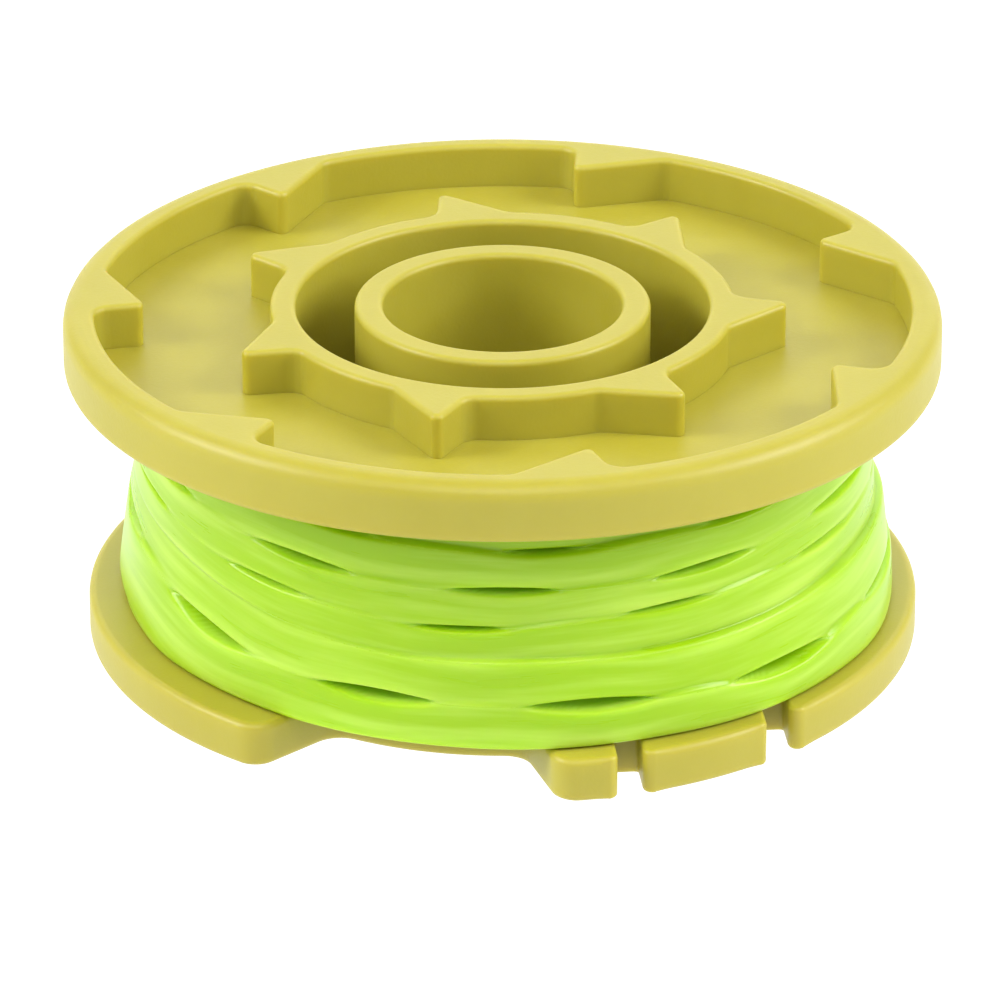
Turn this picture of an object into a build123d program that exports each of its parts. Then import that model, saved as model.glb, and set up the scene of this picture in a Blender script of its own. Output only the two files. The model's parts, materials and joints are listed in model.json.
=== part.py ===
"""A trimmer line spool: a body moulded in one piece, and the cutting line wound on its drum.

The spool stands on the underside of its lower flange, with its axis along Z. The upper flange is a shallow
dish. Saw teeth point inwards from its rim, and as many point outwards from the ring round the hub, half a
pitch apart, so that a pawl lets the spool turn by half a tooth at a time.
"""

from build123d import *
import math
import os

# Lengths are in millimetres. Angles are in degrees, counter-clockwise seen from above, from +X.

# Heights
spool_height = 26.0
lower_flange_thickness = 3.4
upper_flange_thickness = 4.5
dish_floor_thickness = 1.1

# Hub and drum, from the axis outwards
bore_radius = 8.85
hub_wall = 2.1
hub_pocket_width = 4.35
drum_wall = 1.9
hub_edge_bevel = 0.3

# Upper flange
upper_flange_radius = 32.5
rim_wall = 2.3
rim_top_rounding = 1.0
rim_rounding_chords = 2
rim_under_bevel = 0.5

# Saw teeth in the dish
tooth_count = 7
ring_tooth_height = 3.75
ring_tooth_angle = 0.7
ring_tooth_lean = 3.7
ring_tooth_ramp = 15.5
rim_tooth_height = 3.6
rim_tooth_angle = 26.7
rim_tooth_lean = 1.1
rim_tooth_ramp = 12.6
tooth_root_rounding = 1.4
tooth_tip_land = 0.7

# Lower flange, with a wide notch and two line slots in its edge
lower_flange_radius = 31.0
lower_edge_bevel = 0.45
notch_angle = 256.2
notch_depth = 7.6
notch_floor_width = 14.0
notch_flare = 32.5
notch_rounding = 2.0
slot_width = 1.9
slot_depth = 3.75
slot_heading = 276.0
slot_offsets = (6.1, 17.45)
slot_mouth_bevel = 0.5

# Wound line: a full layer, and a last layer over its lower turns that leans about the axis
line_diameter = 2.7
winding_depth = 12.0
winding_seat = 0.05
winding_headroom = 0.1
turn_groove = 0.7
turn_crown = 0.9
last_layer_turns = 3
last_layer_rise = 1.5
last_layer_lean = 0.6
last_layer_heading = 0.0

# Radii and heights that follow
hub_radius = bore_radius + hub_wall
drum_inner_radius = hub_radius + hub_pocket_width
drum_radius = drum_inner_radius + drum_wall
ring_tip_radius = drum_radius + ring_tooth_height
rim_inner_radius = upper_flange_radius - rim_wall
rim_tip_radius = rim_inner_radius - rim_tooth_height
notch_floor_radius = lower_flange_radius - notch_depth
slot_end_radius = lower_flange_radius - slot_depth
upper_flange_bottom = spool_height - upper_flange_thickness
dish_floor = upper_flange_bottom + dish_floor_thickness
winding_bottom = lower_flange_thickness
winding_height = upper_flange_bottom - winding_headroom - winding_bottom
winding_inner_radius = drum_radius + winding_seat
winding_radius = drum_radius + winding_depth
turn_count = int(winding_height / line_diameter)

touching = 0.001


def polar(radius, angle):
    """Point at a radius and an angle about the axis."""
    turn = math.radians(angle)
    return (radius * math.cos(turn), radius * math.sin(turn))


def radius_of(vertex):
    """Distance of a vertex from the axis."""
    return math.hypot(vertex.X, vertex.Y)


def saw_outline(base_radius, tip_radius, first_tip, lean, ramp):
    """Face inside a ring of saw teeth: a ramp to each blunt tip, a steep flank and an arc to the next."""
    pitch = 360 / tooth_count
    land = math.degrees(tooth_tip_land / tip_radius)
    edges = []
    for tooth in range(tooth_count):
        tip_angle = first_tip + tooth * pitch
        foot = polar(base_radius, tip_angle - ramp)
        land_start = polar(tip_radius, tip_angle - land)
        tip = polar(tip_radius, tip_angle)
        root = polar(base_radius, tip_angle + lean)
        halfway = polar(base_radius, tip_angle + (lean + pitch - ramp) / 2)
        next_foot = polar(base_radius, tip_angle + pitch - ramp)
        edges += [Line(foot, land_start), Line(land_start, tip), Line(tip, root)]
        edges.append(ThreePointArc(root, halfway, next_foot))
    face = make_face(edges)
    roots = face.vertices().filter_by(lambda v: abs(radius_of(v) - base_radius) < touching)
    return fillet(roots, tooth_root_rounding)


def notch_face():
    """The flared notch, on the X axis: two straight sides, and a floor along an arc about the axis."""
    half_floor = notch_floor_width / 2
    floor_end = math.sqrt(notch_floor_radius**2 - half_floor**2)
    mouth = lower_flange_radius + notch_depth
    half_mouth = half_floor + (mouth - floor_end) * math.tan(math.radians(notch_flare))
    edges = [
        ThreePointArc((floor_end, -half_floor), (notch_floor_radius, 0), (floor_end, half_floor)),
        Line((floor_end, half_floor), (mouth, half_mouth)),
        Line((mouth, half_mouth), (mouth, -half_mouth)),
        Line((mouth, -half_mouth), (floor_end, -half_floor)),
    ]
    return make_face(edges)


def slot_face(offset):
    """A line slot, along the X axis at an offset from it: straight walls, and a mouth bevelled open."""
    slot_start = math.sqrt(slot_end_radius**2 - offset**2)
    half = slot_width / 2
    half_mouth = half + slot_depth
    upper_edge = math.sqrt(lower_flange_radius**2 - (offset + half) ** 2) - slot_mouth_bevel
    lower_edge = math.sqrt(lower_flange_radius**2 - (offset - half) ** 2) - slot_mouth_bevel
    return make_face(
        Polyline(
            (slot_start, offset + half),
            (upper_edge, offset + half),
            (upper_edge + slot_depth, offset + half_mouth),
            (lower_edge + slot_depth, offset - half_mouth),
            (lower_edge, offset - half),
            (slot_start, offset - half),
            close=True,
        )
    )


def lower_flange():
    """Round plate bevelled along its outline, with the notch and the line slots in its edge."""
    plate = Rot(0, 0, notch_angle) * (Circle(lower_flange_radius) - notch_face())
    plate = fillet(plate.vertices(), notch_rounding)
    flange = extrude(plate, lower_flange_thickness)
    flange = chamfer(flange.faces().filter_by(Axis.Z).edges(), lower_edge_bevel)
    for offset in slot_offsets:
        flange -= Rot(0, 0, slot_heading) * extrude(slot_face(offset), lower_flange_thickness)
    return flange - Cylinder(bore_radius, 2 * lower_flange_thickness)


def spool_section():
    """Half section of the hub, the drum and the upper flange with no dish yet, by radius and height."""
    rim_rounding = []
    for chord in range(rim_rounding_chords + 1):
        out, up = polar(rim_top_rounding, 90 * chord / rim_rounding_chords)
        rounding_radius = upper_flange_radius - rim_top_rounding
        rim_rounding.append((rounding_radius + out, spool_height - rim_top_rounding + up))
    return make_face(
        Polyline(
            (bore_radius, 0),
            (drum_radius, 0),
            (drum_radius, upper_flange_bottom),
            (upper_flange_radius - rim_under_bevel, upper_flange_bottom),
            (upper_flange_radius, upper_flange_bottom + rim_under_bevel),
            *rim_rounding,
            (drum_inner_radius, spool_height),
            (drum_inner_radius, lower_flange_thickness),
            (hub_radius, lower_flange_thickness),
            (hub_radius, spool_height - hub_edge_bevel),
            (hub_radius - hub_edge_bevel, spool_height),
            (bore_radius + hub_edge_bevel, spool_height),
            (bore_radius, spool_height - hub_edge_bevel),
            close=True,
        )
    )


def spool_body():
    """Hub, drum and both flanges as one moulding, with the toothed dish cut into its top."""
    body = revolve(Plane.XZ * spool_section(), Axis.Z)
    rim = saw_outline(rim_inner_radius, rim_tip_radius, rim_tooth_angle, rim_tooth_lean, rim_tooth_ramp)
    ring = saw_outline(drum_radius, ring_tip_radius, ring_tooth_angle, ring_tooth_lean, ring_tooth_ramp)
    dish = extrude(Pos(0, 0, dish_floor) * (rim - ring), upper_flange_thickness)
    return body - dish + lower_flange()


def turn_band(count, pitch, crown_radius):
    """Turns side by side from Z = 0 up, with what lies under them: a ring with a crown for each turn."""
    groove_radius = crown_radius - turn_groove
    root_radius = winding_inner_radius - last_layer_lean
    outline = [(root_radius, -last_layer_lean), (groove_radius, -last_layer_lean), (groove_radius, 0)]
    for turn in range(count):
        middle = (turn + 0.5) * pitch
        outline.append((crown_radius, middle - turn_crown / 2))
        outline.append((crown_radius, middle + turn_crown / 2))
        outline.append((groove_radius, (turn + 1) * pitch))
    outline.append((root_radius, count * pitch))
    return revolve(Plane.XZ * make_face(Polyline(*outline, close=True)), Axis.Z)


def line_winding():
    """The wound line as one solid: a full layer and a leaning last layer, in the space round the drum."""
    space = extrude(Circle(upper_flange_radius) - Circle(winding_inner_radius), winding_height)
    full_layer = turn_band(turn_count, winding_height / turn_count, winding_radius - last_layer_rise)
    last_layer = turn_band(last_layer_turns, line_diameter, winding_radius)
    lean = math.degrees(math.atan(last_layer_lean / winding_radius))
    last_layer = Rot(0, 0, last_layer_heading) * Rot(0, -lean, 0) * last_layer
    return Pos(0, 0, winding_bottom) * ((full_layer + last_layer) & space)


if __name__ == "__main__":
    os.makedirs("parts", exist_ok=True)
    export_step(spool_body(), "parts/spool_body.step")
    export_step(line_winding(), "parts/line_winding.step")
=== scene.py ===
"""The look of a trimmer line spool: its moulded body and the twisted line that is wound on it.

Lengths are in metres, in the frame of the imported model. Angles are counter-clockwise from +X, seen from
above.
"""

import cmath
import json
import math

import bpy
import numpy as np
from bpy.props import FloatProperty, FloatVectorProperty, IntProperty, PointerProperty
from mathutils import Matrix, Vector
from mathutils.geometry import tessellate_polygon


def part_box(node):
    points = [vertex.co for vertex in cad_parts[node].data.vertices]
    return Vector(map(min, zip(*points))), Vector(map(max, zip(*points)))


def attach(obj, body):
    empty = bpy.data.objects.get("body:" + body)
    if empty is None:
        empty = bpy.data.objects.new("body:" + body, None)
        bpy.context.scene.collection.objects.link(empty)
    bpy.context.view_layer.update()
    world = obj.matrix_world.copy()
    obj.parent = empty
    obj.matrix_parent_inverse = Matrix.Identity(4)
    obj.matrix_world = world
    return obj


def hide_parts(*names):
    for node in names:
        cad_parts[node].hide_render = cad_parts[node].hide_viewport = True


bl_info = {
    "name": "Trimmer Line Spool",
    "version": (1, 0, 0),
    "blender": (4, 5, 0),
    "location": "3D View > Sidebar > Spool",
    "description": "Dresses a packed trimmer line spool: moulded body, wound line and stage",
    "category": "Object",
}

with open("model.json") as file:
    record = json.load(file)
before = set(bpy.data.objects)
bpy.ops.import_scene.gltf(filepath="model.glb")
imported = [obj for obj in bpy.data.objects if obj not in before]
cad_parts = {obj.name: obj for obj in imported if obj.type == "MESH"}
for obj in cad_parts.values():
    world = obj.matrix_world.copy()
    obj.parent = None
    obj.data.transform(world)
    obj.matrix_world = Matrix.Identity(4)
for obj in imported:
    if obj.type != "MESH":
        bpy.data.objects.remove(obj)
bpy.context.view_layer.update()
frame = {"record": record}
_, BODY_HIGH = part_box("spool_body")
BORE = next(mount for mount in frame["record"]["mounts"] if mount["name"] == "bore")

MM = 0.001
# Distance from a rounding to the next row of points, which keeps the flat beside it flat.
HOLD = 0.08 * MM
# Faces that meet at more than this angle have a hard edge between them.
SHARP_ANGLE = math.radians(80)
# Widest and narrowest step between two columns of the body's mesh, in degrees.
WIDEST_COLUMN = 1.2
NARROWEST_COLUMN = 0.03
# Longest step along an outline from which the columns' points are taken.
OUTLINE_STEP = 0.05 * MM
# Step of the search for the mouth of the notch, and straight pieces in half of its floor.
MOUTH_STEP = 0.01 * MM
NOTCH_FLOOR_STEPS = 12
# Columns round the axis and levels of the wound line's mesh.
LINE_COLUMNS = 340
LINE_LEVELS = 280
# Width of the window that smooths the route of the line, in degrees.
ROUTE_SMOOTHING = 41
# Turn, counted from 0, with a gap above it that the twist's angle is given for.
TWIST_TURN = 2
# Added to the wave of the twist that opens the gaps: the higher, the longer they are.
GAP_LENGTH = 0.5
# Middle and width of the painted highlight, a pale line along a turn's edges, as shares of half the turn's
# width.
EDGE_HIGHLIGHT_MIDDLE = 0.98
EDGE_HIGHLIGHT_WIDTH = 0.03
# Keeps the logarithm finite where every turn lies far below the layer under the last one.
TINY = 1e-9
# Turns of the last layer from the top flange down. Each row gives, at these angles, the height of a turn's
# upper edge or the distance of its face from the axis, in millimetres.
LAST_LAYER_ANGLES = (180, 200, 220, 240, 255, 270, 285, 300, 315, 330, 360, 450)
LAST_LAYER_EDGES = (
    (21.6, 21.6, 21.6, 21.6, 21.6, 21.6, 21.6, 21.6, 21.6, 21.6, 21.6, 21.6),
    (21.2, 20.8, 20.0, 19.2, 18.65, 18.15, 18.35, 18.45, 18.7, 18.9, 19.0, 19.0),
    (18.8, 18.0, 17.0, 15.85, 15.4, 15.3, 15.3, 15.2, 15.85, 16.2, 16.3, 16.3),
    (16.3, 15.2, 13.95, 13.1, 12.3, 12.4, 12.9, 13.1, 13.3, 13.5, 13.7, 13.8),
    (13.9, 13.1, 11.8, 10.5, 9.95, 10.15, 10.0, 9.9, 10.2, 10.8, 11.2, 11.1),
    (11.4, 10.3, 7.4, 7.0, 6.85, 6.9, 6.6, 6.5, 6.1, 7.0, 7.3, 7.5),
    (4.4, 3.62, 3.62, 3.62, 3.62, 3.62, 3.62, 3.62, 3.62, 3.62, 3.62, 3.62),
)
LAST_LAYER_RADII = (
    (27.0, 27.0, 27.0, 27.0, 27.0, 27.0, 27.0, 27.0, 27.0, 27.0, 27.1, 27.2),
    (27.4, 27.4, 27.4, 27.45, 27.5, 27.5, 27.5, 27.5, 27.5, 27.5, 27.5, 27.4),
    (27.4, 27.4, 27.45, 27.5, 27.55, 27.55, 27.55, 27.55, 27.55, 27.55, 27.5, 27.4),
    (27.4, 27.4, 27.55, 27.65, 27.75, 27.85, 27.9, 27.9, 27.85, 27.8, 27.7, 27.6),
    (27.6, 27.5, 27.5, 28.0, 28.4, 28.6, 28.7, 28.75, 28.8, 28.8, 28.6, 28.3),
    (28.4, 28.2, 28.1, 28.3, 28.7, 29.0, 29.15, 29.35, 29.55, 29.5, 29.1, 28.8),
    (28.4, 28.2, 28.1, 28.3, 28.6, 28.8, 28.8, 28.8, 28.8, 28.8, 28.8, 28.8),
)
# Widest gap above each turn in millimetres, and how far its face looks up in degrees.
LAST_LAYER_GAPS = (0.0, 0.55, 0.9, 0.6, 0.0, 1.2, 0.0)
LAST_LAYER_LEANS = (0, 0, 2, 3, 8, 5, 3)
# The floor's radius and number of sides, and how deep the floor and the disc under the spool lie.
FLOOR_RADIUS = 4.0
FLOOR_SIDES = 64
FLOOR_DEPTH = 0.04 * MM
UNDER_SPOOL_DEPTH = 0.02 * MM
# How far the disc under the spool stays behind the notch's floor, so that it doesn't show.
UNDER_SPOOL_INSET = 2 * MM
# Square soft lights that face one point: place, side in metres and power in watts.
LIGHT_AIM = (0.0, 0.0, 0.013)
LIGHTS = {
    "back_light": ((0.0, 0.55, 0.3), 0.8, 2.0),
    "front_light": ((0.0, -0.38, 0.5), 0.35, 1.5),
    "left_light": ((-0.5, -0.09, 0.33), 0.3, 2.4),
    "left_glint": ((-0.5, -0.09, 0.33), 0.06, 0.4),
    "right_light": ((0.5, -0.09, 0.33), 0.3, 3.0),
}
# Width of the camera's sensor in millimetres, and how far the camera sees in metres.
SENSOR_WIDTH = 36.0
CAMERA_REACH = 20.0
# Share of the strand's coordinates across, through and along the line that its streaks follow.
STREAK_STRETCH = (1.0, 1.0, 0.12)


def length(name, description, millimetres):
    """A length property whose default is given in millimetres."""
    default = millimetres * MM
    return FloatProperty(name=name, description=description, default=default, unit="LENGTH", precision=5)


def angle(name, description, degrees):
    """An angle property whose default is given in degrees."""
    return FloatProperty(name=name, description=description, default=math.radians(degrees), subtype="ANGLE")


def colour(name, description, red, green, blue):
    """A colour property."""
    return FloatVectorProperty(
        name=name, description=description, default=(red, green, blue), subtype="COLOR", min=0.0, max=1.0
    )


class BodySizes(bpy.types.PropertyGroup):
    """Sizes of the moulded body."""

    height: length("Height", "Underside to the top of the rim", BODY_HIGH.z / MM)
    upper_radius: length("Upper flange radius", "Axis to the outside of the rim", BODY_HIGH.x / MM)
    upper_thickness: length("Upper flange thickness", "Underside of the flange to the top of the rim", 4.5)
    floor_thickness: length("Dish floor", "Thickness of the dish's floor", 1.1)
    bore_radius: length("Bore radius", "Axis to the wall of the bore", BORE["dims"]["r_mm"])
    hub_radius: length("Hub radius", "Axis to the outside of the hub", 10.95)
    drum_inner_radius: length("Drum inner radius", "Axis to the inside of the drum", 15.3)
    drum_radius: length("Drum radius", "Axis to the outside of the drum", 17.2)
    ring_tip_radius: length("Ring tooth radius", "Axis to the tips of the teeth round the drum", 20.95)
    ring_tip: angle("Ring tooth angle", "Angle of a tooth round the drum", 0.7)
    ring_lean: angle("Ring tooth lean", "Angle that the steep side takes up", 3.7)
    ring_ramp: angle("Ring tooth ramp", "Angle that the ramp takes up", 15.5)
    rim_inner_radius: length("Rim inner radius", "Axis to the inside of the rim", 30.2)
    rim_tip_radius: length("Rim tooth radius", "Axis to the tips of the teeth on the rim", 26.6)
    rim_tip: angle("Rim tooth angle", "Angle of a tooth on the rim", 26.7)
    rim_lean: angle("Rim tooth lean", "Angle that the steep side takes up", 1.1)
    rim_ramp: angle("Rim tooth ramp", "Angle that the ramp takes up", 12.6)
    tooth_count: IntProperty(name="Teeth", description="Teeth in each ring", default=7, min=3)
    tooth_land: length("Tooth land", "Width of a tooth's blunt tip", 0.7)
    tooth_root: length("Tooth root", "Rounding at the foot of a tooth, seen from above", 1.4)
    tooth_corner: length("Tooth corner", "Rounding of a tooth's tip, seen from above", 0.5)
    tooth_edge: length("Tooth edge", "Rounding along the top of the teeth", 0.38)
    rim_rounding: length("Rim rounding", "Rounding of the rim's outer top edge", 1.3)
    rim_under: length("Rim lower rounding", "Rounding of the rim's lower edge", 0.55)
    hub_rounding: length("Hub rounding", "Rounding along the hub's edges", 0.4)
    lower_radius: length("Lower flange radius", "Axis to the edge of the lower flange", 31.0)
    lower_thickness: length("Lower flange thickness", "Underside to the top of the lower flange", 3.4)
    lower_edge: length("Lower flange edge", "Rounding along the lower flange's outline", 0.55)
    notch_angle: angle("Notch angle", "Angle of the notch", 256.2)
    notch_floor: length("Notch floor radius", "Axis to the floor of the notch", 23.4)
    notch_width: length("Notch floor width", "Width of the notch at its floor", 14.0)
    notch_flare: angle("Notch flare", "Slant of the notch's sides", 32.5)
    notch_rounding: length("Notch rounding", "Rounding of the notch's corners", 2.0)
    slot_heading: angle("Slot heading", "Direction of both line slots", 276.0)
    slot_near: length("Near slot offset", "Axis to the middle of the slot nearer the notch", 6.1)
    slot_far: length("Far slot offset", "Axis to the middle of the other slot", 17.45)
    slot_width: length("Slot width", "Width of a line slot", 1.9)
    slot_end: length("Slot end radius", "Axis to the inner end of a line slot", 27.25)
    slot_mouth: length("Slot mouth", "Rounding of a slot's mouth", 0.7)
    slot_edge: length("Slot edge", "Rounding along a slot's edges", 0.3)


class LineSizes(bpy.types.PropertyGroup):
    """Sizes of the wound line."""

    edge_depth: length("Edge depth", "How far the edges of a turn lie below its face", 1.3)
    squareness: FloatProperty(
        name="Squareness",
        description="Section of the line: 2 for an oval, more for a squarer one",
        default=8.0,
    )
    twist: FloatProperty(
        name="Twist", description="Quarter turns of twist in one turn round the drum", default=11.2
    )
    twist_angle: angle("Twist angle", "Angle of a gap under the second turn, where it is widest", 270.0)
    overlap: length("Overlap", "How far two turns that press on each other run into each other", 0.35)
    gap_slope: FloatProperty(name="Gap slope", description="Steepness of the walls of a gap", default=2.2)
    tilt: angle("Tilt", "How far the line's faces lean as it twists", 2.5)
    blend: length("Blend", "Rounding of the groove between two turns that press on each other", 0.12)
    under_radius: length("Under layer radius", "Axis to the layer under the last one", 25.0)
    headroom: length("Headroom", "Gap between the line and the upper flange", 0.1)


class Finishes(bpy.types.PropertyGroup):
    """Colours of the moulded plastic and of the line."""

    plastic: colour("Plastic", "Moulded plastic", 0.37, 0.32, 0.012)
    plastic_pale: colour("Pale plastic", "Thin clouds in the moulded plastic", 0.44, 0.395, 0.05)
    line: colour("Line", "Wound line", 0.315, 0.535, 0.005)
    # This pale colour paints sheen along the line's streaks and a highlight along the edges of its turns.
    line_highlight: colour("Pale line", "Edges and streaks of the line", 0.52, 0.73, 0.11)


class StageSettings(bpy.types.PropertyGroup):
    """Floor, light and camera."""

    floor: colour("Floor", "Surface of the floor, under its glow", 0.1, 0.1, 0.1)
    glow: FloatProperty(name="Glow", description="Strength of the floor's own light", default=1.2, min=0.0)
    under_spool: colour("Floor under the spool", "Floor under the spool, which doesn't glow", 0.7, 0.7, 0.7)
    sky: FloatProperty(name="Sky", description="Strength of the light from all round", default=0.5, min=0.0)
    camera_rise: angle("Camera rise", "Angle of the camera above the floor", 25.0)
    camera_distance: length("Camera distance", "Camera to the middle of the view", 600.0)
    camera_aim: FloatVectorProperty(
        name="Camera aim",
        description="Middle of the view",
        default=(-0.19 * MM, 0.0, 9.82 * MM),
        unit="LENGTH",
    )
    lens: FloatProperty(
        name="Lens", description="Focal length on a 36 mm sensor, in millimetres", default=288.9, min=1.0
    )


class Value:
    """A number that varies over a surface: sums and products of it add Math nodes."""

    def __init__(self, finish, socket):
        self.finish = finish
        self.socket = socket

    def math(self, operation, first, second):
        """Result of an operation on two values or numbers."""
        return self.finish.node("ShaderNodeMath", {"operation": operation}, {0: first, 1: second})

    def __add__(self, other):
        return self.math("ADD", self, other)

    __radd__ = __add__

    def __sub__(self, other):
        return self.math("SUBTRACT", self, other)

    def __rsub__(self, other):
        return self.math("SUBTRACT", other, self)

    def __mul__(self, other):
        return self.math("MULTIPLY", self, other)

    __rmul__ = __mul__


class Finish:
    """A material with its shader, to which nodes are added."""

    def __init__(self, name):
        self.material = bpy.data.materials.new(name)
        self.material.use_nodes = True
        self.tree = self.material.node_tree
        self.shader = self.tree.nodes["Principled BSDF"]

    def feed(self, socket, value):
        """Links a varying value to a socket, or sets the socket to a constant."""
        if isinstance(value, Value):
            self.tree.links.new(value.socket, socket)
        else:
            socket.default_value = value

    def node(self, kind, settings, inputs, output=0):
        """Adds a node of a type, with its settings and then its sockets, and gives one of its outputs."""
        node = self.tree.nodes.new(kind)
        for name, value in settings.items():
            setattr(node, name, value)
        for socket, value in inputs.items():
            self.feed(node.inputs[socket], value)
        return Value(self, node.outputs[output])

    def set(self, **sockets):
        """Sets or links the shader's sockets, named in words with underscores."""
        for name, value in sockets.items():
            self.feed(self.shader.inputs[name.replace("_", " ")], value)


def noise(finish, place, scale, detail):
    """Cloudy value from 0 to 1 over a surface."""
    inputs = {"Vector": place, "Scale": scale, "Detail": detail}
    return finish.node("ShaderNodeTexNoise", {}, inputs)


def mixed(finish, mask, first, second):
    """Colour that goes from the first to the second with the mask."""
    # A Mix node's colours are its sockets 6 and 7 and its output 2.
    inputs = {0: mask, 6: (*first, 1.0), 7: (*second, 1.0)}
    return finish.node("ShaderNodeMix", {"data_type": "RGBA"}, inputs, 2)


def bumped(finish, height, distance):
    """Normal of a surface raised by the height."""
    return finish.node("ShaderNodeBump", {}, {"Height": height, "Strength": 1.0, "Distance": distance})


def moulded_plastic(colours):
    """Satin moulded plastic, a little cloudy, with the fine grain of the mould."""
    finish = Finish("moulded_plastic")
    place = finish.node("ShaderNodeTexCoord", {}, {}, "Object")
    clouds = noise(finish, place, scale=75.0, detail=3.0)
    patches = noise(finish, place, scale=420.0, detail=3.0)
    grain = noise(finish, place, scale=3600.0, detail=2.0)
    finish.set(
        Base_Color=mixed(finish, clouds * 0.7 + patches * 0.3, colours.plastic, colours.plastic_pale),
        Roughness=0.34 + clouds * 0.12 + grain * 0.08,
        Normal=bumped(finish, grain + patches * 0.6, distance=0.012 * MM),
        IOR=1.52,
        Subsurface_Weight=0.6,
        Subsurface_Radius=(1.0, 0.8, 0.15),
        Subsurface_Scale=2.2 * MM,
    )
    return finish.material


def drawn_line(colours):
    """Glossy drawn nylon with lengthwise streaks. Its colour is paler with painted sheen along streaks and
    patches, and with a painted highlight along the edges of its gaps.
    """
    finish = Finish("drawn_line")
    strand = finish.node("ShaderNodeAttribute", {"attribute_name": "strand"}, {}, "Vector")
    # The edge attribute marks where a highlight is painted along the turns' edges.
    edge = finish.node("ShaderNodeAttribute", {"attribute_name": "edge"}, {}, "Fac")
    along = finish.node("ShaderNodeVectorMath", {"operation": "MULTIPLY"}, {0: strand, 1: STREAK_STRETCH})
    streaks = noise(finish, along, scale=1000.0, detail=3.0)
    # Broad patches where sheen is painted into the colour.
    sheen_patches = noise(finish, along, scale=300.0, detail=2.0)
    # Painted sheen along streaks and patches, and a painted highlight along the turns' edges, lighten the
    # colour.
    painted_sheen_and_highlight = edge * 0.4 + sheen_patches * 1.2 + streaks * 1.6 - 1.25
    finish.set(
        Base_Color=mixed(finish, painted_sheen_and_highlight, colours.line, colours.line_highlight),
        Roughness=0.2 + streaks * 0.2,
        Normal=bumped(finish, streaks, distance=0.02 * MM),
        IOR=1.39,
        Subsurface_Weight=0.9,
        Subsurface_Radius=(0.8, 1.0, 0.3),
        Subsurface_Scale=2.2 * MM,
    )
    return finish.material


def polar(radius, turn):
    """Point of the plane, as a complex number, at a radius and an angle."""
    return cmath.rect(radius, turn)


def unit(vector):
    """Direction of a complex number."""
    return vector / abs(vector)


def arc(centre, start, end, steps):
    """Points of the shorter arc about a centre, ends included."""
    turn = cmath.phase((end - centre) / (start - centre))
    return [centre + (start - centre) * cmath.exp(1j * turn * step / steps) for step in range(steps + 1)]


def rounded_corner(before, corner, after, radius, steps):
    """Arc that rounds the corner between two straight runs, and a point on each run just beyond the arc."""
    back = unit(before - corner)
    on = unit(after - corner)
    half = abs(cmath.phase(on / back)) / 2
    centre = corner + unit(back + on) * radius / math.sin(half)
    reach = radius / math.tan(half)
    curve = arc(centre, corner + back * reach, corner + on * reach, steps)
    return [curve[0] + back * HOLD, *curve, curve[-1] + on * HOLD]


def circle_fillet(foot, far, base, radius, aside, outside, steps):
    """Arc from a circle about the axis to a straight run from it, and a point just beyond each of its ends.

    The arc's centre lies on the run's side away from the point aside, and outside or inside the circle.
    """
    run = unit(far - foot)
    normal = run * 1j
    if ((aside - foot) * normal.conjugate()).real > 0:
        normal = -normal
    reach = base + radius if outside else base - radius
    start = foot + radius * normal
    middle = (start.conjugate() * run).real
    root = math.sqrt(middle**2 - abs(start) ** 2 + reach**2)
    centre = start + run * min(root - middle, -root - middle, key=abs)
    curve = arc(centre, unit(centre) * base, centre - radius * normal, steps)
    away = HOLD / base if cmath.phase(curve[0] / curve[-1]) > 0 else -HOLD / base
    return [curve[0] * cmath.exp(1j * away), *curve, curve[-1] + run * HOLD]


def saw_outline(sizes, base, tip, first, lean, ramp, outside):
    """Outline of a ring of saw teeth, counter-clockwise: its roundings and the arcs between the teeth."""
    pitch = 2 * math.pi / sizes.tooth_count
    land = sizes.tooth_land / tip
    outline = []
    for tooth in range(sizes.tooth_count):
        turn = first + tooth * pitch
        foot = polar(base, turn - ramp)
        shoulder = polar(tip, turn - land)
        crest = polar(tip, turn)
        root = polar(base, turn + lean)
        within = polar((base + tip) / 2, turn - ramp / 4)
        outline += circle_fillet(foot, shoulder, base, sizes.tooth_root, within, outside, steps=6)
        outline += rounded_corner(foot, shoulder, crest, sizes.tooth_corner, steps=4)[:-1]
        outline += rounded_corner(shoulder, crest, root, sizes.tooth_corner, steps=6)[1:]
        outline += circle_fillet(root, crest, base, sizes.tooth_root, within, outside, steps=6)[::-1]
        next_foot = polar(base, turn + pitch - ramp)
        gap = cmath.phase(next_foot / outline[-1])
        steps = max(2, round(math.degrees(gap) / WIDEST_COLUMN))
        start = cmath.phase(outline[-1])
        outline += [polar(base, start + gap * step / steps) for step in range(1, steps - 1)]
    return np.array(outline)


def dense(outline):
    """The closed outline with more points along its straight runs."""
    points = []
    for start, end in zip(outline, np.roll(outline, -1)):
        steps = max(1, math.ceil(abs(end - start) / OUTLINE_STEP))
        points += [start + (end - start) * step / steps for step in range(steps)]
    return np.array(points)


def outward_normals(points):
    """Unit normals of a closed counter-clockwise outline, pointing out of it."""
    run = np.roll(points, -1) - np.roll(points, 1)
    return -1j * run / abs(run)


def on_columns(outline, columns):
    """Points of an outline on the columns' angles, and its outward normals there."""
    points = dense(outline)
    normals = outward_normals(points)
    turns = np.angle(points) % (2 * math.pi)
    order = np.argsort(turns)
    radii = np.interp(columns, turns[order], abs(points)[order], period=2 * math.pi)
    normal = np.interp(columns, turns[order], normals.real[order], period=2 * math.pi)
    normal = normal + 1j * np.interp(columns, turns[order], normals.imag[order], period=2 * math.pi)
    return radii * np.exp(1j * columns), normal / abs(normal)


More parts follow.
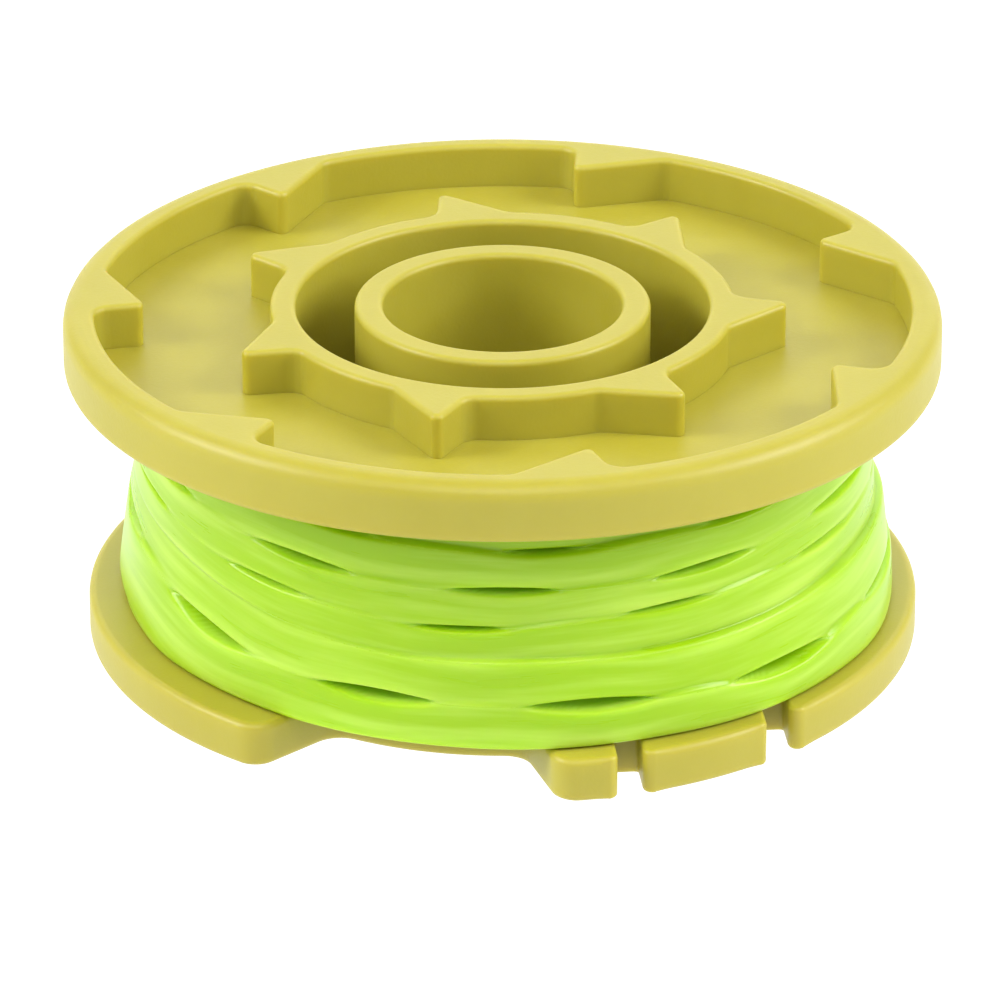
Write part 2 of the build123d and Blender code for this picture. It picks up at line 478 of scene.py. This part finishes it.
def column_angles(outlines):
    """Angles of the mesh's columns: those of the outlines' points, and more where they lie far apart."""
    turns = np.sort(np.concatenate([np.angle(outline) % (2 * math.pi) for outline in outlines]))
    kept = [turns[0]]
    for turn in turns[1:]:
        if turn - kept[-1] > math.radians(NARROWEST_COLUMN):
            kept.append(turn)
    columns = []
    for start, end in zip(kept, kept[1:] + [kept[0] + 2 * math.pi]):
        steps = math.ceil((end - start) / math.radians(WIDEST_COLUMN))
        columns += [start + (end - start) * step / steps for step in range(steps)]
    return np.array(columns)


def rounded_path(corners, steps=5):
    """Path through corners given as radius, height and rounding, with held roundings."""
    places = [complex(radius, height) for radius, height, _ in corners]
    path = [places[0]]
    for before, place, after, (_, _, rounding) in zip(places, places[1:], places[2:], corners[1:]):
        path += rounded_corner(before, place, after, rounding, steps)
    return path + [places[-1]]


def quarter(rounding, steps=4):
    """Steps of a quarter round, as what is left of the rounding across and along it."""
    turns = [math.pi / 2 * step / steps for step in range(steps + 1)]
    return [(rounding * (1 - math.sin(turn)), rounding * (1 - math.cos(turn))) for turn in turns]


class Mesh:
    """Points and faces of a mesh that grows row by row."""

    def __init__(self):
        self.points = []
        self.faces = []

    def row(self, places, heights):
        """Adds a closed row of points and gives their numbers."""
        start = len(self.points)
        heights = np.broadcast_to(heights, places.shape)
        self.points += [(place.real, place.imag, height) for place, height in zip(places, heights)]
        return range(start, len(self.points))

    def band(self, lower, upper):
        """Closed band of faces between two rows of the same length."""
        count = len(lower)
        for near in range(count):
            far = (near + 1) % count
            self.faces.append((lower[near], lower[far], upper[far], upper[near]))

    def plate(self, outer, inner, upwards):
        """Flat face between an outer and an inner row."""
        numbers = [*outer, *inner]
        loops = [[Vector(self.points[number]) for number in row] for row in (outer, inner)]
        for face in tessellate_polygon(loops):
            corners = [numbers[corner] for corner in face]
            first, second, third = (Vector(self.points[corner]) for corner in corners)
            if ((second - first).cross(third - first).z > 0) != upwards:
                corners.reverse()
            self.faces.append(corners)

    def build(self, name, material):
        """Makes the object, shaded smoothly but for its sharp corners."""
        mesh = bpy.data.meshes.new(name)
        mesh.from_pydata(self.points, [], self.faces)
        mesh.validate()
        mesh.shade_smooth()
        mesh.set_sharp_from_angle(angle=SHARP_ANGLE)
        mesh.materials.append(material)
        piece = bpy.data.objects.new(name, mesh)
        bpy.context.scene.collection.objects.link(piece)
        return piece


def eased(values):
    """Values round a closed loop, each averaged with its two neighbours."""
    return (np.roll(values, 1, axis=-1) + 2 * values + np.roll(values, -1, axis=-1)) / 4


def plain_edge(sizes, start, gap, steps):
    """Points between the ends of an arc of the lower flange's edge, and the edge's rounding there."""
    turns = [start + gap * step / steps for step in range(1, steps)]
    return [(polar(sizes.lower_radius, turn), sizes.lower_edge) for turn in turns]


def flange_outline(sizes):
    """Outline of the lower flange, counter-clockwise, and the rounding of its edge at each point."""
    radius = sizes.lower_radius
    heading = cmath.exp(1j * sizes.notch_angle)
    half_floor = sizes.notch_width / 2
    floor_end = math.sqrt(sizes.notch_floor**2 - half_floor**2)
    flare = math.tan(sizes.notch_flare)
    mouth = floor_end
    while abs(complex(mouth, half_floor + (mouth - floor_end) * flare)) < radius:
        mouth += MOUTH_STEP
    corner = complex(floor_end, half_floor)
    lip = complex(mouth, half_floor + (mouth - floor_end) * flare)
    solid = complex(floor_end, 2 * half_floor)
    inner = circle_fillet(corner, lip, sizes.notch_floor, sizes.notch_rounding, solid, True, steps=8)
    opening = complex(mouth, 0)
    outer = circle_fillet(lip, corner, radius, sizes.notch_rounding, opening, False, steps=8)
    side = inner + outer[::-1]
    floor_turn = cmath.phase(inner[0])
    floor_steps = range(1 - NOTCH_FLOOR_STEPS, NOTCH_FLOOR_STEPS)
    floor = [polar(sizes.notch_floor, floor_turn * step / NOTCH_FLOOR_STEPS) for step in floor_steps]
    notch = [point.conjugate() for point in side[::-1]] + floor + side
    outline = [(point * heading, sizes.lower_edge) for point in notch]
    half = sizes.slot_width / 2
    end_rounding = half / 3
    slot_heading = cmath.exp(1j * sizes.slot_heading)
    for offset in (sizes.slot_near, sizes.slot_far):
        end = math.sqrt(sizes.slot_end**2 - offset**2)
        walls = []
        for edge in (offset - half, offset + half):
            lip = complex(math.sqrt(radius**2 - edge**2), edge)
            foot = complex(end, edge)
            middle = complex(end, offset)
            walls.append(circle_fillet(lip, foot, radius, sizes.slot_mouth, middle, False, steps=5))
        ends = [complex(end, offset - half), complex(end, offset + half)]
        corners = rounded_corner(walls[0][-1], ends[0], ends[1], end_rounding, steps=3)
        corners += rounded_corner(ends[0], ends[1], walls[1][-1], end_rounding, steps=3)
        slot = walls[0] + corners + walls[1][::-1]
        start = cmath.phase(outline[-1][0])
        gap = cmath.phase(slot[0] * slot_heading / outline[-1][0])
        steps = max(2, round(math.degrees(gap) / WIDEST_COLUMN))
        outline += plain_edge(sizes, start, gap, steps)
        outline += [(point * slot_heading, sizes.slot_edge) for point in slot]
    start = cmath.phase(outline[-1][0])
    gap = cmath.phase(outline[0][0] / outline[-1][0]) % (2 * math.pi)
    steps = round(math.degrees(gap) / WIDEST_COLUMN)
    outline += plain_edge(sizes, start, gap, steps)
    points = np.array([point for point, _ in outline])
    edges = np.array([edge for _, edge in outline])
    return points, eased(edges)


def body_mesh(sizes):
    """The moulded body as one closed mesh: columns round the axis, and the lower flange's flat faces."""
    ring = saw_outline(
        sizes,
        base=sizes.drum_radius,
        tip=sizes.ring_tip_radius,
        first=sizes.ring_tip,
        lean=sizes.ring_lean,
        ramp=sizes.ring_ramp,
        outside=True,
    )
    rim = saw_outline(
        sizes,
        base=sizes.rim_inner_radius,
        tip=sizes.rim_tip_radius,
        first=sizes.rim_tip,
        lean=sizes.rim_lean,
        ramp=sizes.rim_ramp,
        outside=False,
    )
    columns = column_angles((ring, rim))
    round_axis = np.exp(1j * columns)
    ring_points, ring_normals = on_columns(ring, columns)
    rim_points, rim_normals = on_columns(rim, columns)
    top = sizes.height
    under = top - sizes.upper_thickness
    floor = under + sizes.floor_thickness
    pocket = sizes.lower_thickness
    small = sizes.hub_rounding
    edge = sizes.tooth_edge
    outside = rounded_path((
        (sizes.drum_radius, pocket, 0),
        (sizes.drum_radius, under, small),
        (sizes.upper_radius, under, sizes.rim_under),
        (sizes.upper_radius, top, sizes.rim_rounding),
        (sizes.upper_radius - sizes.rim_rounding - 2 * HOLD, top, 0),
    ))
    inside = rounded_path((
        (sizes.drum_inner_radius + small + 2 * HOLD, top, 0),
        (sizes.drum_inner_radius, top, small),
        (sizes.drum_inner_radius, pocket, small),
        (sizes.hub_radius, pocket, small),
        (sizes.hub_radius, top, small),
        (sizes.bore_radius, top, small),
        (sizes.bore_radius, 0, small),
        (sizes.bore_radius + small + 2 * HOLD, 0, 0),
    ))
    # Across the top edge and the wall of the teeth: how far into the solid, and the height.
    wall = [(edge + HOLD, top)]
    wall += [(across, top - along) for across, along in quarter(edge)]
    wall += [(0, top - edge - HOLD), (0, floor)]
    mesh = Mesh()
    rows = [mesh.row(round_axis * place.real, place.imag) for place in outside]
    rows += [mesh.row(rim_points + rim_normals * depth, height) for depth, height in wall]
    rows += [mesh.row(ring_points - ring_normals * depth, height) for depth, height in wall[::-1]]
    rows += [mesh.row(round_axis * place.real, place.imag) for place in inside]
    for lower, upper in zip(rows, rows[1:]):
        mesh.band(lower, upper)
    outline, edges = flange_outline(sizes)
    normals = outward_normals(outline)
    flange = [mesh.row(outline - normals * (edges + HOLD), pocket)]
    shares = quarter(1.0)
    for across, along in shares:
        flange.append(mesh.row(outline - normals * edges * across, pocket - edges * along))
    for across, along in shares[::-1]:
        flange.append(mesh.row(outline - normals * edges * across, edges * along))
    flange.append(mesh.row(outline - normals * (edges + HOLD), 0.0))
    for upper, lower in zip(flange, flange[1:]):
        mesh.band(lower, upper)
    mesh.plate(flange[0], rows[0], True)
    mesh.plate(flange[-1], rows[-1], False)
    return mesh


def winding_route():
    """Columns' angles, and on them each turn's face radius, upper edge, gap above it and lean."""
    knots = []
    for turn, rows in enumerate(zip(LAST_LAYER_RADII, LAST_LAYER_EDGES)):
        for place, radius, edge in zip(LAST_LAYER_ANGLES, *rows):
            gap = LAST_LAYER_GAPS[turn]
            lean = math.radians(LAST_LAYER_LEANS[turn])
            knots.append((360 * turn + place, radius * MM, edge * MM, gap * MM, lean))
    knots = np.array(knots)
    fine = np.arange(knots[0, 0], knots[-1, 0] + 1)
    window = np.hanning(ROUTE_SMOOTHING)
    window /= window.sum()
    half = len(window) // 2
    columns = LAST_LAYER_ANGLES[0] + np.arange(LINE_COLUMNS) * 360 / LINE_COLUMNS
    stations = columns + 360 * np.arange(len(LAST_LAYER_EDGES) + 1)[:, None]
    smooth = []
    for kind in range(1, knots.shape[1]):
        values = np.interp(fine, knots[:, 0], knots[:, kind])
        padded = np.pad(values, half, mode="reflect", reflect_type="odd")
        smooth.append(np.interp(stations, fine, np.convolve(padded, window, mode="valid")))
    return np.radians(columns), *smooth


def softened(grid):
    """Radii by level and column, each averaged with those beside, above and below it."""
    padded = np.pad(eased(grid), ((1, 1), (0, 0)), mode="edge")
    return (padded[:-2] + 2 * padded[1:-1] + padded[2:]) / 4


def line_mesh(sizes, low, high, drum_radius):
    """The wound line as one closed mesh, with its lengthwise coordinates and the mask of a painted
    highlight along its edges as attributes.

    The line is flat-sided and twisted. A turn is wider where a corner comes round, so it presses on its
    neighbours there and leaves gaps between.
    """
    columns, radii, edges, gaps, leans = winding_route()
    turn = np.arange(len(edges))[:, None]
    along = columns + 2 * math.pi * turn
    twist = (along - 2 * math.pi * TWIST_TURN - sizes.twist_angle) * sizes.twist
    gaps = gaps * (GAP_LENGTH + np.cos(twist)) / (GAP_LENGTH + 1) - sizes.overlap
    upper = edges[:-1] - gaps[:-1] / 2
    lower = edges[1:] + gaps[1:] / 2
    radii = radii[:-1]
    middles = (upper + lower) / 2
    half_widths = np.maximum(upper - lower, sizes.overlap) / 2
    slopes = np.tan(sizes.tilt * np.sin(twist[:-1]) - leans[:-1])
    round_axis = np.exp(1j * columns)
    mesh = Mesh()
    rows = [mesh.row(round_axis * drum_radius, low)]
    strand = [np.zeros((LINE_COLUMNS, 3))]
    edge_highlight = [np.zeros(LINE_COLUMNS)]
    levels = np.linspace(low, high, LINE_LEVELS)
    shells = []
    for level in levels:
        offset = level - middles
        share = np.abs(offset) / half_widths
        fall = 1 - (1 - np.minimum(share, 1) ** sizes.squareness) ** (1 / sizes.squareness)
        surface = radii + slopes * offset - fall * sizes.edge_depth
        surface -= np.maximum(np.abs(offset) - half_widths, 0) * sizes.gap_slope
        crest = np.maximum(surface.max(axis=0), sizes.under_radius)
        near = np.exp((surface - crest) / sizes.blend).sum(axis=0)
        radius = crest + sizes.blend * np.log(near + TINY)
        shells.append(np.maximum(radius, sizes.under_radius))
        chosen = (np.argmin(share, axis=0), np.arange(LINE_COLUMNS))
        lengthwise = along[chosen] * drum_radius
        strand.append(np.stack((offset[chosen], np.zeros(LINE_COLUMNS), lengthwise), axis=1))
        # Painted highlight: a pale line along the edge of the nearest turn.
        edge_highlight.append(np.exp(-(((share[chosen] - EDGE_HIGHLIGHT_MIDDLE) / EDGE_HIGHLIGHT_WIDTH) ** 2)))
    # Softened twice, so that the walls of slanting gaps show no steps.
    for level, radius in zip(levels, softened(softened(np.array(shells)))):
        rows.append(mesh.row(round_axis * radius, level))
    rows.append(mesh.row(round_axis * drum_radius, high))
    strand.append(np.zeros((LINE_COLUMNS, 3)))
    edge_highlight.append(np.zeros(LINE_COLUMNS))
    for below, above in zip(rows, rows[1:] + rows[:1]):
        mesh.band(below, above)
    return mesh, np.concatenate(strand).reshape(-1), np.concatenate(edge_highlight)


class SPOOL_OT_body(bpy.types.Operator):
    """Makes the moulded body with its toothed dish and its notched lower flange"""

    bl_idname = "spool.body"
    bl_label = "Moulded Body"

    def execute(self, context):
        material = moulded_plastic(context.scene.spool_finishes)
        body = body_mesh(context.scene.spool_body).build("moulded_body", material)
        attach(body, "root")
        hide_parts("spool_body")
        return {"FINISHED"}


class SPOOL_OT_line(bpy.types.Operator):
    """Winds the twisted line on the drum"""

    bl_idname = "spool.line"
    bl_label = "Wound Line"

    def execute(self, context):
        material = drawn_line(context.scene.spool_finishes)
        sizes = context.scene.spool_line
        body = context.scene.spool_body
        high = body.height - body.upper_thickness - sizes.headroom
        # The edges given back here are the mask of the painted highlight along the turns' edges.
        mesh, strand, edges = line_mesh(sizes, body.lower_thickness, high, body.drum_radius)
        line = mesh.build("wound_line", material)
        line.data.attributes.new("strand", "FLOAT_VECTOR", "POINT").data.foreach_set("vector", strand)
        # The edge attribute carries the mask of the painted highlight along the turns' edges.
        line.data.attributes.new("edge", "FLOAT", "POINT").data.foreach_set("value", edges)
        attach(line, "root")
        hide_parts("line_winding")
        return {"FINISHED"}


def area_light(name, place, size, power):
    """White square soft light that faces the spool."""
    light = bpy.data.lights.new(name, "AREA")
    light.size = size
    light.energy = power
    lamp = bpy.data.objects.new(name, light)
    lamp.location = place
    lamp.rotation_euler = (Vector(LIGHT_AIM) - Vector(place)).to_track_quat("-Z", "Y").to_euler()
    bpy.context.scene.collection.objects.link(lamp)


def floor_disc(name, radius, depth, tone, glow):
    """Round floor about the axis, at a depth below the spool, that glows evenly."""
    finish = Finish(name)
    finish.set(Base_Color=(*tone, 1.0), Roughness=0.9, Specular_IOR_Level=0.0)
    finish.set(Emission_Color=(1.0, 1.0, 1.0, 1.0), Emission_Strength=glow)
    edge = [polar(radius, 2 * math.pi * step / FLOOR_SIDES) for step in range(FLOOR_SIDES)]
    mesh = bpy.data.meshes.new(name)
    mesh.from_pydata([(point.real, point.imag, -depth) for point in edge], [], [range(FLOOR_SIDES)])
    mesh.materials.append(finish.material)
    floor = bpy.data.objects.new(name, mesh)
    bpy.context.scene.collection.objects.link(floor)


class SPOOL_OT_stage(bpy.types.Operator):
    """Sets the floor, the studio light and the camera"""

    bl_idname = "spool.stage"
    bl_label = "Stage"

    def execute(self, context):
        scene = context.scene
        settings = scene.spool_stage
        scene.view_settings.view_transform = "Standard"
        world = bpy.data.worlds.new("studio")
        world.use_nodes = True
        sky = world.node_tree.nodes["Background"].inputs
        sky["Color"].default_value = (1.0, 1.0, 1.0, 1.0)
        sky["Strength"].default_value = settings.sky
        scene.world = world

        floor_disc("studio_floor", FLOOR_RADIUS, FLOOR_DEPTH, settings.floor, settings.glow)
        under_radius = scene.spool_body.notch_floor - UNDER_SPOOL_INSET
        floor_disc("floor_under_spool", under_radius, UNDER_SPOOL_DEPTH, settings.under_spool, glow=0.0)
        for name, (place, size, power) in LIGHTS.items():
            area_light(name, place, size, power)

        camera = bpy.data.cameras.new("camera")
        camera.sensor_width = SENSOR_WIDTH
        camera.lens = settings.lens
        camera.clip_end = CAMERA_REACH
        view = bpy.data.objects.new("camera", camera)
        rise = settings.camera_rise
        back = Vector((0.0, -math.cos(rise), math.sin(rise)))
        tilt = Matrix.Rotation(math.pi / 2 - rise, 4, "X")
        place = Vector(settings.camera_aim) + back * settings.camera_distance
        view.matrix_world = Matrix.Translation(place) @ tilt
        scene.collection.objects.link(view)
        scene.camera = view
        return {"FINISHED"}


class SPOOL_PT_panel(bpy.types.Panel):
    """Sizes, colours and buttons of the spool"""

    bl_idname = "SPOOL_PT_panel"
    bl_label = "Trimmer Line Spool"
    bl_space_type = "VIEW_3D"
    bl_region_type = "UI"
    bl_category = "Spool"

    def draw(self, context):
        scene = context.scene
        for operator, settings in (
            (SPOOL_OT_body, scene.spool_body),
            (SPOOL_OT_line, scene.spool_line),
            (SPOOL_OT_stage, scene.spool_stage),
        ):
            box = self.layout.box()
            box.operator(operator.bl_idname)
            for name in settings.__annotations__:
                box.prop(settings, name)
        box = self.layout.box()
        for name in scene.spool_finishes.__annotations__:
            box.prop(scene.spool_finishes, name)


CLASSES = (
    BodySizes,
    LineSizes,
    Finishes,
    StageSettings,
    SPOOL_OT_body,
    SPOOL_OT_line,
    SPOOL_OT_stage,
    SPOOL_PT_panel,
)


def register():
    """Registers the classes and hangs the settings on the scene."""
    for item in CLASSES:
        bpy.utils.register_class(item)
    bpy.types.Scene.spool_body = PointerProperty(type=BodySizes)
    bpy.types.Scene.spool_line = PointerProperty(type=LineSizes)
    bpy.types.Scene.spool_finishes = PointerProperty(type=Finishes)
    bpy.types.Scene.spool_stage = PointerProperty(type=StageSettings)


def unregister():
    """Takes the settings and the classes away again."""
    del bpy.types.Scene.spool_stage
    del bpy.types.Scene.spool_finishes
    del bpy.types.Scene.spool_line
    del bpy.types.Scene.spool_body
    for item in reversed(CLASSES):
        bpy.utils.unregister_class(item)


def main():
    """Registers the add-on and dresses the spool."""
    register()
    bpy.ops.spool.body()
    bpy.ops.spool.line()
    bpy.ops.spool.stage()


if __name__ == "__main__":
    main()
